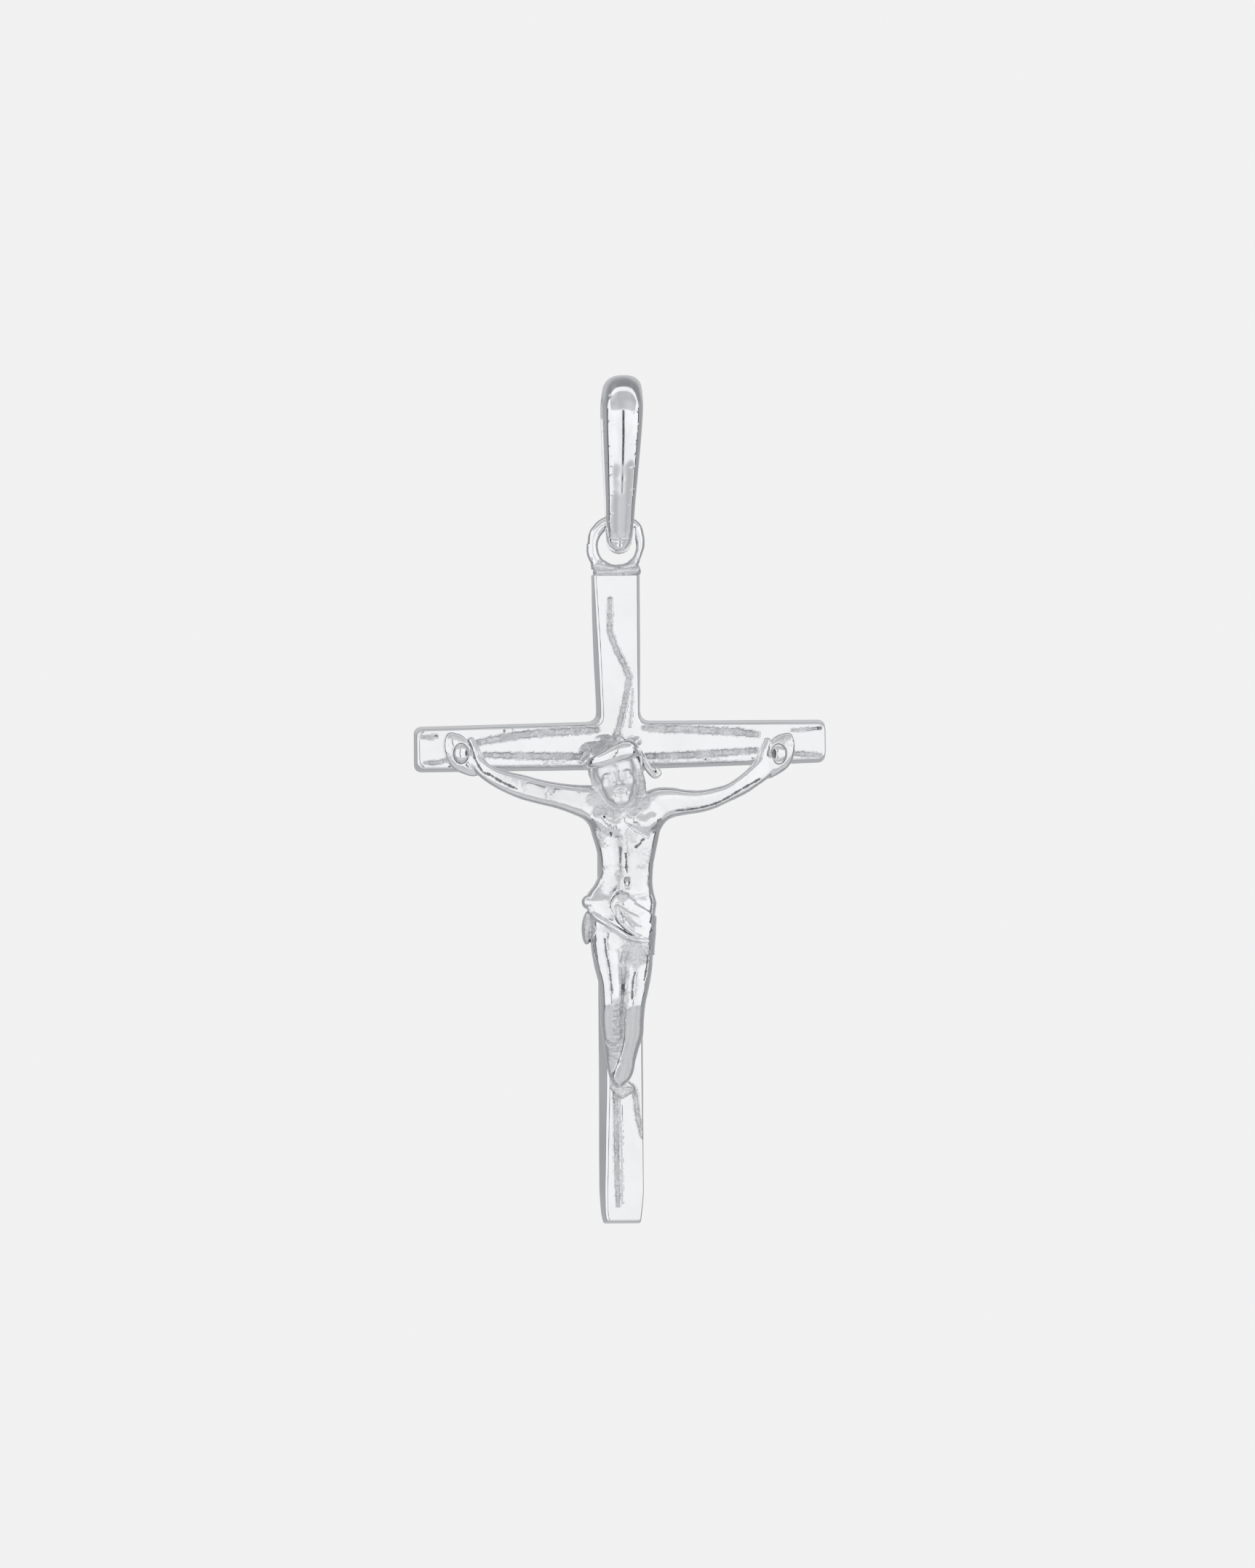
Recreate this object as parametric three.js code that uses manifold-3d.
// A silver crucifix pendant: a cast cross with a separately cast figure pinned and soldered to it, an eye
// soldered on top of the post, and a half-round strap bail that loops through the eye and swings on it.
// Millimetres, +Z up, front -Y, +X to the right as seen from the front.
// Origin: the chain seat, the middle of the inside of the bail's top.
import * as THREE from "three";
import { ParametricGeometry } from "three/addons/geometries/ParametricGeometry.js";
import { mergeVertices } from "three/addons/utils/BufferGeometryUtils.js";
import Module from "manifold-3d";

const wasm = await Module();
wasm.setup();

// ---- Driving dimensions ----

const GAP = 0.03; // between solids that touch on the real pendant

// Cross
const CROSS_X = -0.34; // the post's centre line
const POST_HALF = 1.22;
const POST_TOP_Z = -10.1;
const POST_TOP_LEFT = 1.5; // the post widens under the eye, more on the left
const POST_TOP_RIGHT = 1.22;
const POST_BOTTOM_Z = -46.8;
const BAR_Z = -19.76; // the crossbar's middle on the post
const BAR_HALF = 1.27;
const BAR_END_HALF = 1.23;
const BAR_SLOPE = 0.0155; // the casting's right arm is a little higher than its left
const BAR_LEFT = 11.52; // from the post's centre line
const BAR_RIGHT = 11.79;
const FACE_Y = -0.5; // front face of post and crossbar
const BACK_Y = 1.2;
const EDGE_BEVEL = 0.12;
const TOP_RADIUS = 0.25;
const INNER_RADIUS = 0.55;
const END_RADIUS = 0.3;
const GROOVE_DEPTH = 0.17;

// Eye
const RING_X = -0.29;
const HOLE_Z = -8.48;
const HOLE_RADIUS = 1.06;
const RING_Z = -8.33; // the wire is thickest at the top, so its two circles aren't concentric
const RING_RADIUS = 1.59;
const RING_DEPTH = 0.56;
const RING_BASE_Z = -9.7;
const RING_BASE_HALF = 1.25;
const FOOT_RISE = 0.45;
const FOOT_TAPER = 0.4;
const SEAM_Y = 0.1;
const SEAM_HALF_DEPTH = 0.5;

// Bail
const HINGE_RISE = 7.08; // from the hinge line, the middle of the eye's top wire, up to the chain seat
const BAIL_ROCK = THREE.MathUtils.degToRad(1.54); // the top leans to the right
const BAIL_TWIST = THREE.MathUtils.degToRad(-1.5); // the front turns to the left
const TIP_GAP = 0.06; // half the space between the two tips, which solder fills

// Nails and solder
const PALM_BACK = 0.16; // from the crossbar's face to the back of a hand
const PALM_FRONT = 0.86;
const NAIL_HEAD_RADIUS = 0.43;
const NAIL_HEAD_HEIGHT = 0.28;
const NAIL_SEAT = 0.14; // how deep the head sits in the palm
const NAIL_RADIUS = 0.2;
const NAIL_DEPTH = 1.1; // how far the shank goes into the crossbar
const CLEARANCE = 0.02;
const LEFT_PALM = { x: -9.28, z: -20.16 };
const RIGHT_PALM = { x: 8.69, z: -20.31 };

// Figure
const HEAD_ROLL = -0.21; // the head leans to the left

// ---- Materials ----

function silver(color, roughness) {
  return new THREE.MeshStandardMaterial({ color, roughness, metalness: 1 });
}

const polishedSilver = silver(0xe6e8ec, 0.16);
const castSilver = silver(0xdfe2e6, 0.26);
const solderSilver = silver(0xcfd2d6, 0.45);

// ---- Helpers ----

// A closed geometry as a solid for joins and cuts.
function solidOf(geometry) {
  const bare = geometry.clone();
  bare.deleteAttribute("normal");
  bare.deleteAttribute("uv");
  const merged = mergeVertices(bare, 1e-4);
  return new wasm.Manifold(
    new wasm.Mesh({
      numProp: 3,
      vertProperties: merged.attributes.position.array,
      triVerts: new Uint32Array(merged.index.array),
    }),
  );
}

// A solid as a geometry with one flat shade per facet.
function geometryOf(solid) {
  const mesh = solid.getMesh();
  const geometry = new THREE.BufferGeometry();
  geometry.setAttribute("position", new THREE.BufferAttribute(mesh.vertProperties, mesh.numProp));
  geometry.setIndex(new THREE.BufferAttribute(mesh.triVerts, 1));
  const facets = geometry.toNonIndexed();
  facets.computeVertexNormals();
  return facets;
}

function joined(geometries) {
  return geometries.map(solidOf).reduce((whole, piece) => whole.add(piece));
}

function named(name, geometry, material) {
  const mesh = new THREE.Mesh(geometry, material);
  mesh.name = name;
  return mesh;
}

function inFront(distance) {
  return FACE_Y - distance;
}

// A round-ended body along a curve. A station is [x, out, z, half width, half depth]: out is the distance in
// front of the cross's face, the width lies across the curve as seen from the front, and the depth lies
// towards the viewer.
function limb(stations, around = 12, along = 12, roundEnd = 0.12) {
  const centres = stations.map(([x, out, z]) => new THREE.Vector3(x, inFront(out), z));
  const sizes = stations.map((station) => new THREE.Vector3(station[3], station[4], 0));
  const path = new THREE.CatmullRomCurve3(centres, false, "catmullrom", 0.5);
  const size = new THREE.CatmullRomCurve3(sizes, false, "catmullrom", 0.5);
  const towardsViewer = new THREE.Vector3(0, -1, 0);
  return new ParametricGeometry(
    (u, v, target) => {
      const t = (1 - Math.cos(Math.PI * v)) / 2; // closer rows at both ends
      const fromEnd = Math.min(t, 1 - t, roundEnd) / roundEnd;
      const taper = Math.sqrt(Math.max(0, 1 - (1 - fromEnd) ** 2));
      const forward = path.getTangent(t);
      const side = new THREE.Vector3().crossVectors(forward, towardsViewer).normalize();
      const depth = new THREE.Vector3().crossVectors(forward, side);
      const half = size.getPoint(t);
      const angle = u === 1 ? 0 : 2 * Math.PI * u;
      target
        .copy(path.getPoint(t))
        .addScaledVector(side, half.x * taper * Math.cos(angle))
        .addScaledVector(depth, half.y * taper * Math.sin(angle));
    },
    around,
    along,
  );
}

function ellipsoid([x, y, z], [halfX, halfY, halfZ], roll = 0) {
  const geometry = new THREE.SphereGeometry(1, 12, 8);
  geometry.rotateX(Math.PI / 2); // poles along Z
  geometry.scale(halfX, halfY, halfZ);
  geometry.rotateY(roll);
  geometry.translate(x, y, z);
  return geometry;
}

// A round disc that lies flat on the cross's face.
function disc({ x, z }, radius, back, thickness) {
  const geometry = new THREE.CylinderGeometry(radius, radius, thickness, 20);
  geometry.translate(x, inFront(back + thickness / 2), z);
  return geometry;
}

// A flat shape in the plane of the cross, bevelled all round, between two depths.
function plate(shape, frontY, backY, bevel, curveSegments) {
  const geometry = new THREE.ExtrudeGeometry(shape, {
    depth: backY - frontY - 2 * bevel,
    bevelEnabled: true,
    bevelSize: bevel,
    bevelOffset: -bevel,
    bevelThickness: bevel,
    bevelSegments: 2,
    curveSegments,
  });
  geometry.rotateX(Math.PI / 2); // the shape's y becomes Z, and the extrusion runs towards -Y
  geometry.translate(0, backY - bevel, 0);
  return geometry;
}

// ---- Cross ----

// The outline's corners, clockwise from the post's top left: [x from the centre line, z, corner radius].
function crossShape() {
  const barZ = (x, half) => BAR_Z + BAR_SLOPE * x + half;
  const corners = [
    [-POST_TOP_LEFT, POST_TOP_Z, TOP_RADIUS],
    [POST_TOP_RIGHT, POST_TOP_Z, TOP_RADIUS],
    [POST_HALF, barZ(POST_HALF, BAR_HALF), INNER_RADIUS],
    [BAR_RIGHT, barZ(BAR_RIGHT, BAR_END_HALF), END_RADIUS],
    [BAR_RIGHT, barZ(BAR_RIGHT, -BAR_END_HALF), END_RADIUS],
    [POST_HALF, barZ(POST_HALF, -BAR_HALF), INNER_RADIUS],
    [POST_HALF, POST_BOTTOM_Z, END_RADIUS],
    [-POST_HALF, POST_BOTTOM_Z, END_RADIUS],
    [-POST_HALF, barZ(-POST_HALF, -BAR_HALF), INNER_RADIUS],
    [-BAR_LEFT, barZ(-BAR_LEFT, -BAR_END_HALF), END_RADIUS],
    [-BAR_LEFT, barZ(-BAR_LEFT, BAR_END_HALF), END_RADIUS],
    [-POST_HALF, barZ(-POST_HALF, BAR_HALF), INNER_RADIUS],
  ].map(([x, z, radius]) => ({ point: new THREE.Vector2(CROSS_X + x, z), radius }));
  const towards = (from, to, distance) => to.clone().sub(from).setLength(distance).add(from);
  const shape = new THREE.Shape();
  corners.forEach(({ point, radius }, i) => {
    const start = towards(point, corners.at(i - 1).point, radius);
    const end = towards(point, corners[(i + 1) % corners.length].point, radius);
    if (i === 0) shape.moveTo(start.x, start.y);
    else shape.lineTo(start.x, start.y);
    shape.quadraticCurveTo(point.x, point.y, end.x, end.y);
  });
  shape.closePath();
  return shape;
}

// Grain lines in the face: half width, then points [x, z].
const GROOVES = [
  [0.15, [-0.77, -11.5], [-0.79, -13.35], [-0.38, -14.45], [0.29, -15.9], [0.02, -17.45], [-0.25, -18.6]],
  [0.24, [-8.1, -19.5], [-5.5, -19.1], [-3.2, -18.95], [-1.45, -18.88]],
  [0.18, [-7.95, -20.3], [-5.5, -20.35], [-3.25, -20.37], [-1.4, -20.4]],
  [0.17, [1.1, -18.76], [3.15, -18.81], [5.2, -18.94], [7.55, -19.2]],
  [0.18, [1.2, -20.44], [3.15, -20.37], [5.2, -20.26], [7.5, -20.07]],
  [0.12, [9.45, -18.9], [10.35, -18.92], [11.25, -18.94]],
  [0.14, [9.55, -20.33], [10.35, -20.38], [11.2, -20.42]],
  [0.11, [-11.5, -19.18], [-11.1, -19.19], [-10.6, -19.2]],
  [0.15, [-0.62, -39.6], [-0.58, -42.6], [-0.52, -45.95]],
];

function groove([halfWidth, ...points]) {
  const stations = points.map(([x, z]) => [x, 0, z, halfWidth, GROOVE_DEPTH]);
  return limb(stations, 6, 3 * points.length);
}

// The hole that a nail's shank runs in, from in front of the palm to just past the shank's end.
function nailHole(palm) {
  const length = 2 * PALM_FRONT + NAIL_DEPTH + CLEARANCE;
  const hole = new THREE.CylinderGeometry(NAIL_RADIUS + CLEARANCE, NAIL_RADIUS + CLEARANCE, length, 12);
  hole.translate(palm.x, FACE_Y + NAIL_DEPTH + CLEARANCE - length / 2, palm.z);
  return hole;
}

function makeCross() {
  const cuts = joined([...GROOVES.map(groove), nailHole(LEFT_PALM), nailHole(RIGHT_PALM)]);
  const casting = solidOf(plate(crossShape(), FACE_Y, BACK_Y, EDGE_BEVEL, 4)).subtract(cuts);
  return named("cross", geometryOf(casting), polishedSilver);
}

// ---- Eye and its solder seam ----

// The wire fills the space between the round hole and a larger circle that lies a little higher.
function ringWire() {
  const rise = RING_Z - HOLE_Z;
  return new ParametricGeometry(
    (u, v, target) => {
      const around = v === 1 ? 0 : 2 * Math.PI * v;
      const section = u === 1 ? 0 : 2 * Math.PI * u;
      const outer = rise * Math.sin(around) + Math.sqrt(RING_RADIUS ** 2 - (rise * Math.cos(around)) ** 2);
      const half = (outer - HOLE_RADIUS) / 2;
      const reach = HOLE_RADIUS + half + half * Math.cos(section);
      const y = (RING_DEPTH / 2) * Math.sin(section);
      target.set(RING_X + reach * Math.cos(around), y, HOLE_Z + reach * Math.sin(around));
    },
    12,
    40,
  );
}

// The eye: its wire on a flared foot, filed flat where it meets the solder.
function makeRing() {
  const foot = new THREE.ExtrudeGeometry(
    new THREE.Shape([
      new THREE.Vector2(RING_X - RING_BASE_HALF, RING_BASE_Z),
      new THREE.Vector2(RING_X + RING_BASE_HALF, RING_BASE_Z),
      new THREE.Vector2(RING_X + RING_BASE_HALF - FOOT_TAPER, RING_BASE_Z + FOOT_RISE),
      new THREE.Vector2(RING_X - RING_BASE_HALF + FOOT_TAPER, RING_BASE_Z + FOOT_RISE),
    ]),
    { depth: RING_DEPTH, bevelEnabled: false },
  );
  foot.rotateX(Math.PI / 2);
  foot.translate(0, RING_DEPTH / 2, 0);
  const opening = new THREE.CylinderGeometry(HOLE_RADIUS, HOLE_RADIUS, 2 * RING_DEPTH, 40);
  opening.translate(RING_X, 0, HOLE_Z);
  const below = new THREE.BoxGeometry(2 * RING_RADIUS, 1, 1);
  below.translate(RING_X, 0, RING_BASE_Z - 0.5);
  const eye = joined([foot, ringWire()]).subtract(joined([opening, below]));
  return named("suspension_ring", geometryOf(eye), polishedSilver);
}

// A lumpy bead between the eye's foot and the post's top.
function makeRingSeam() {
  const middleZ = (RING_BASE_Z + POST_TOP_Z) / 2;
  const halfHeight = (RING_BASE_Z - POST_TOP_Z) / 2 - GAP;
  const lumps = [-0.95, -0.35, 0.3, 0.85].map((x) =>
    ellipsoid([RING_X + x, SEAM_Y, middleZ], [0.5, SEAM_HALF_DEPTH, halfHeight]),
  );
  return named("ring_solder_seam", geometryOf(joined(lumps)), solderSilver);
}

// ---- Figure ----

function head() {
  const crown = new THREE.TorusGeometry(1.2, 0.36, 8, 16);
  crown.scale(1, 0.98, 1.1);
  crown.rotateX(-0.16); // lower at the back
  crown.rotateY(HEAD_ROLL);
  crown.translate(-0.91, inFront(2.25), -20.22);
  return [
    crown,
    ellipsoid([-0.76, inFront(2.25), -21.12], [1.18, 1.25, 1.6], HEAD_ROLL), // skull
    ellipsoid([-0.51, inFront(2.6), -22.17], [0.78, 0.85, 0.85], HEAD_ROLL), // jaw
    ellipsoid([-0.73, inFront(3.45), -21.42], [0.17, 0.3, 0.42], HEAD_ROLL), // nose
    ellipsoid([-0.46, inFront(2.5), -22.72], [0.72, 0.7, 0.5]), // beard
    ellipsoid([-0.91, inFront(2.2), -20.02], [1.1, 1.1, 0.62], HEAD_ROLL), // hair on top
    ellipsoid([-0.86, inFront(1.75), -20.87], [1.5, 1.15, 1.55], HEAD_ROLL), // hair behind
    limb([
      [-2.11, 2.0, -20.07, 0.4, 0.5],
      [-2.16, 1.9, -21.27, 0.42, 0.6],
      [-1.81, 1.7, -22.67, 0.5, 0.6],
      [-1.41, 1.5, -23.37, 0.4, 0.5],
    ]), // hair at the left
    limb([
      [0.39, 2.1, -20.07, 0.3, 0.5],
      [0.74, 2.0, -21.17, 0.38, 0.6],
      [0.84, 1.7, -22.27, 0.42, 0.6],
      [0.59, 1.5, -23.17, 0.4, 0.5],
    ]), // hair at the right
    limb([
      [0.69, 2.1, -20.47, 0.18, 0.25],
      [1.09, 2.0, -21.17, 0.17, 0.22],
      [1.49, 1.9, -21.62, 0.16, 0.2],
      [1.69, 1.9, -21.27, 0.13, 0.16],
    ], 8, 10), // curl at the right
    limb([
      [-0.53, 2.0, -21.87, 0.75, 0.7],
      [-0.41, 1.6, -22.77, 0.72, 0.65],
      [-0.26, 1.4, -23.67, 0.85, 0.6],
    ]), // neck
  ];
}

function trunk() {
  return limb([
    [-0.26, 1.3, -22.77, 0.9, 0.5],
    [-0.21, 1.35, -23.37, 2.05, 0.8],
    [-0.01, 1.4, -24.37, 1.95, 1.02],
    [-0.01, 1.4, -25.67, 1.66, 0.95],
    [-0.09, 1.25, -26.97, 1.5, 0.8],
    [-0.26, 1.25, -28.07, 1.72, 0.85],
    [-0.41, 1.35, -29.27, 1.98, 0.98],
    [-0.33, 1.4, -30.47, 1.75, 0.95],
    [-0.29, 1.45, -31.57, 1.3, 0.8],
  ], 18, 20);
}

function legs() {
  const left = [
    [-1.13, 1.4, -29.57, 0.8, 0.85],
    [-1.13, 1.6, -31.47, 0.82, 0.88],
    [-1.01, 1.9, -33.07, 0.68, 0.8],
    [-0.88, 2.05, -34.37, 0.6, 0.72],
    [-0.83, 1.5, -36.07, 0.5, 0.62],
    [-0.61, 0.95, -37.67, 0.36, 0.42],
    [-0.57, 0.7, -38.67, 0.34, 0.36],
    [-0.53, 0.6, -39.07, 0.26, 0.26],
  ];
  const right = [
    [0.51, 1.4, -29.57, 0.8, 0.85],
    [0.57, 1.65, -31.47, 0.8, 0.9],
    [0.37, 2.0, -33.07, 0.7, 0.82],
    [0.14, 2.2, -34.47, 0.6, 0.74],
    [0.04, 1.75, -36.07, 0.52, 0.62],
    [-0.16, 1.3, -37.57, 0.4, 0.45],
    [-0.39, 1.0, -38.57, 0.4, 0.36],
    [-0.49, 0.75, -39.12, 0.3, 0.26],
  ];
  return [limb(left, 12, 18), limb(right, 12, 18)];
}

function arms() {
  const left = [
    [-1.11, 1.35, -23.37, 0.75, 0.75],
    [-2.21, 1.3, -23.02, 0.8, 0.72],
    [-3.31, 1.3, -22.67, 0.66, 0.6],
    [-4.81, 1.25, -22.47, 0.66, 0.58],
    [-6.21, 1.1, -21.97, 0.58, 0.5],
    [-7.61, 0.85, -21.22, 0.48, 0.42],
    [-8.51, 0.62, -20.67, 0.42, 0.36],
    [-9.11, 0.55, -20.27, 0.4, 0.3],
  ];
  const right = [
    [0.69, 1.35, -23.52, 0.75, 0.75],
    [1.79, 1.3, -23.27, 0.82, 0.72],
    [2.99, 1.3, -23.12, 0.74, 0.6],
    [4.19, 1.25, -23.07, 0.62, 0.56],
    [5.39, 1.15, -22.82, 0.55, 0.5],
    [6.49, 0.95, -22.22, 0.5, 0.42],
    [7.59, 0.7, -21.42, 0.44, 0.36],
    [8.39, 0.56, -20.77, 0.42, 0.3],
  ];
  return [limb(left, 12, 18), limb(right, 12, 18)];
}

// A hand flat on the crossbar, palm to the front. outward is -1 for the left hand and 1 for the right.
function hand(palm, outward, fingertip) {
  const middle = (PALM_BACK + PALM_FRONT) / 2;
  const half = (PALM_FRONT - PALM_BACK) / 2;
  const knuckle = { x: palm.x + 0.25 * outward, z: palm.z + 0.5 };
  return [
    ellipsoid([palm.x, inFront(middle), palm.z - 0.1], [0.78, half, 0.95], -0.35 * outward),
    limb([
      [knuckle.x, middle, knuckle.z, 0.55, 0.8 * half],
      [(knuckle.x + fingertip.x) / 2, middle, (knuckle.z + fingertip.z) / 2, 0.5, 0.28],
      [fingertip.x, middle, fingertip.z, 0.3, 0.2],
    ], 10, 8), // fingers
    limb([
      [palm.x - 0.45 * outward, middle, palm.z - 0.7, 0.2, 0.28],
      [palm.x - 0.5 * outward, middle, palm.z, 0.2, 0.28],
      [palm.x - 0.2 * outward, middle, palm.z + 0.75, 0.16, 0.2],
    ], 8, 8), // thumb
  ];
}

function loincloth() {
  const hem = new THREE.TorusGeometry(1, 0.11, 8, 24);
  hem.scale(2.0, 1.08, 1.6);
  hem.rotateY(0.48);
  hem.translate(-0.41, inFront(1.4), -29.67);
  return [
    hem,
    limb([
      [-0.46, 1.35, -28.12, 1.82, 0.96],
      [-0.41, 1.4, -28.87, 2.02, 1.04],
      [-0.26, 1.45, -29.57, 1.93, 1.06],
      [-0.11, 1.45, -30.37, 1.6, 1.0],
    ], 18, 8), // wrap
    ellipsoid([-0.31, inFront(2.4), -28.37], [0.42, 0.25, 0.4]), // knot
    limb([
      [-0.86, 2.35, -28.57, 0.16, 0.18],
      [-0.01, 2.5, -29.22, 0.2, 0.2],
      [0.99, 2.2, -29.87, 0.16, 0.18],
    ], 8, 8), // fold below the knot
    limb([
      [-2.21, 1.2, -28.57, 0.3, 0.4],
      [-2.29, 1.1, -29.77, 0.36, 0.42],
      [-2.21, 1.1, -30.87, 0.28, 0.32],
    ], 10, 8), // hanging end
  ];
}

function makeCorpus() {
  const casting = joined([
    trunk(),
    ...head(),
    ...legs(),
    ...arms(),
    ...hand(LEFT_PALM, -1, { x: -10.0, z: -19.35 }),
    ...hand(RIGHT_PALM, 1, { x: 9.02, z: -18.8 }),
    ...loincloth(),
  ]);
  const seatDepth = 1; // reaches well in front of the palm
  const cuts = joined(
    [LEFT_PALM, RIGHT_PALM].flatMap((palm) => [
      nailHole(palm),
      disc(palm, NAIL_HEAD_RADIUS + CLEARANCE, PALM_FRONT - NAIL_SEAT, seatDepth),
    ]),
  );
  return named("corpus", geometryOf(casting.subtract(cuts)), castSilver);
}

// ---- Nails and solder pads ----

// A domed pin. Its outline is [radius, distance in front of the crossbar's face].
function makeNail(name, palm) {
  const underHead = PALM_FRONT - NAIL_SEAT + CLEARANCE;
  const outline = [
    [0, -NAIL_DEPTH],
    [NAIL_RADIUS, -NAIL_DEPTH],
    [NAIL_RADIUS, underHead],
    [NAIL_HEAD_RADIUS, underHead],
  ];
  const domeSteps = 5;
  for (let step = 1; step < domeSteps; step += 1) {
    const angle = (step / domeSteps) * (Math.PI / 2);
    outline.push([NAIL_HEAD_RADIUS * Math.cos(angle), underHead + NAIL_HEAD_HEIGHT * Math.sin(angle)]);
  }
  outline.push([0, underHead + NAIL_HEAD_HEIGHT]);
  const nail = new THREE.LatheGeometry(outline.map(([radius, out]) => new THREE.Vector2(radius, out)), 16);
  nail.rotateX(Math.PI); // the head looks along -Y
  nail.translate(palm.x, FACE_Y, palm.z);
  return named(name, nail, polishedSilver);
}

// Solder between a hand's back and the crossbar, with the nail's hole through it.
function makeHandSolder(name, palm) {
  const layer = disc(palm, 0.5, GAP, PALM_BACK - 2 * GAP);
  return named(name, geometryOf(solidOf(layer).subtract(solidOf(nailHole(palm)))), solderSilver);
}

function makeHipSolder() {
  return named("hip_solder", disc({ x: -0.35, z: -29.2 }, 0.9, GAP, 0.24), solderSilver);
}

function makeFootSolder() {
  const lump = ellipsoid([-0.25, inFront(0.15 + GAP), -39.15], [0.62, 0.15, 0.42]);
  return named("foot_solder", lump, solderSilver);
}

// ---- Bail ----

// The strap from its front tip over the top to its back tip, in the bail's own frame with its origin on the
// hinge line. A station is [y, z, half width, thickness, crown]: y and z lie on the strap's inside, and the
// strap is widest at crown, a fraction of its thickness.
const FRONT_LEG = [
  [TIP_GAP, -1.2, 0.66, 0.66, 0.15],
  [0.14, -0.74, 0.68, 0.7, 0.2],
  [0.47, -0.46, 0.72, 0.72, 0.36],
  [0.64, 0.1, 0.78, 0.75, 0.38],
  [0.78, 1.0, 0.83, 0.8, 0.28],
  [1.02, 2.5, 0.95, 0.9, 0.18],
  [1.3, 4.2, 1.08, 1.02, 0.12],
  [1.4, 5.5, 1.17, 1.12, 0.12],
  [1.12, 6.5, 1.19, 1.17, 0.12],
];
const STRAP_TOP = [0, HINGE_RISE, 1.19, 1.2, 0.12];
const FRONT_TIP_Z = -1.7;
const BACK_TIP_Z = -1.92;
const TIP_EASE = 0.5;

function strapGeometry() {
  const tip = (z) => [TIP_GAP, z, 0.62, 0.62, 0.15];
  const back = [tip(BACK_TIP_Z), ...FRONT_LEG].reverse();
  const stations = [
    ...[tip(FRONT_TIP_Z), ...FRONT_LEG].map(([y, z, ...section]) => [-y, z, ...section]),
    STRAP_TOP,
    ...back,
  ];
  const centres = stations.map(([y, z]) => new THREE.Vector3(0, y, z));
  const sections = stations.map(([, , ...section]) => new THREE.Vector3(...section));
  const path = new THREE.CatmullRomCurve3(centres, false, "catmullrom", 0.5);
  const section = new THREE.CatmullRomCurve3(sections, false, "catmullrom", 0.5);
  const across = new THREE.Vector3(1, 0, 0);
  const roundEnd = 0.045;
  return new ParametricGeometry(
    (u, v, target) => {
      const eased = v - TIP_EASE * (Math.sin(2 * Math.PI * v) / (2 * Math.PI)); // closer rows at both tips
      const fromEnd = Math.min(eased, 1 - eased, roundEnd) / roundEnd;
      const taper = Math.sqrt(Math.max(0, 1 - (1 - fromEnd) ** 2));
      const forward = path.getTangent(eased);
      const outward = new THREE.Vector3().crossVectors(across, forward);
      const { x: halfWidth, y: thickness, z: crown } = section.getPoint(eased);
      const angle = u === 1 ? 0 : -2 * Math.PI * u;
      const rise = Math.sin(angle);
      const widest = crown * thickness;
      const height = widest + rise * (rise > 0 ? thickness - widest : widest);
      target
        .copy(path.getPoint(eased))
        .addScaledVector(across, halfWidth * taper * Math.cos(angle))
        .addScaledVector(outward, widest + (height - widest) * taper);
    },
    14,
    52,
  );
}

function makeBail() {
  const bail = new THREE.Group();
  bail.position.set(-HINGE_RISE * Math.sin(BAIL_ROCK), 0, -HINGE_RISE * Math.cos(BAIL_ROCK));
  bail.rotation.set(0, BAIL_ROCK, BAIL_TWIST);
  bail.add(named("bail_strap", strapGeometry(), polishedSilver));
  const solder = ellipsoid([0, 0, -1.25], [0.42, TIP_GAP - CLEARANCE, 0.34]);
  bail.add(named("bail_tip_solder", solder, solderSilver));
  return bail;
}

// ---- Pendant ----

const pendant = new THREE.Group();
pendant.add(
  makeCross(),
  makeRing(),
  makeRingSeam(),
  makeCorpus(),
  makeNail("left_hand_nail", LEFT_PALM),
  makeNail("right_hand_nail", RIGHT_PALM),
  makeHandSolder("left_hand_solder", LEFT_PALM),
  makeHandSolder("right_hand_solder", RIGHT_PALM),
  makeHipSolder(),
  makeFootSolder(),
  makeBail(),
);

export default pendant;
